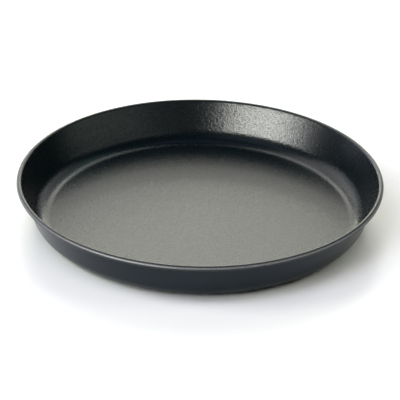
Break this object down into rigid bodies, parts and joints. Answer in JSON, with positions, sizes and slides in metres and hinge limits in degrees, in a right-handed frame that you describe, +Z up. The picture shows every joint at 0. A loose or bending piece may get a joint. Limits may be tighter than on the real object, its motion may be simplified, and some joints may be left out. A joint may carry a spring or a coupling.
{
  "type": "pizza pan",
  "caption": "Low round baking pan with a flat floor, flared wall and rolled, wire-stiffened rim, dark non-stick inside and blue-black outside.",
  "frame": {"origin": "middle of the base, on the surface that the pan stands on", "axes": "+Z up along the pan's own axis; the pan is round, so X and Y may point any way across it"},
  "size_m": [0.32, 0.32, 0.0385],
  "materials": {
    "pressed_steel": "plain mill finish, hidden under the coats",
    "wire_steel": "drawn wire, hidden in the rolled rim",
    "nonstick_coat": "baked charcoal non-stick coat, satin with a fine orange-peel texture",
    "outer_coat": "baked blue-black satin coat, smooth"
  },
  "bodies": {
    "root": {"pan_shell": "pressed_steel", "rim_wire": "wire_steel", "nonstick_lining": "nonstick_coat", "outer_coat": "outer_coat"}
  },
  "joints": []
}
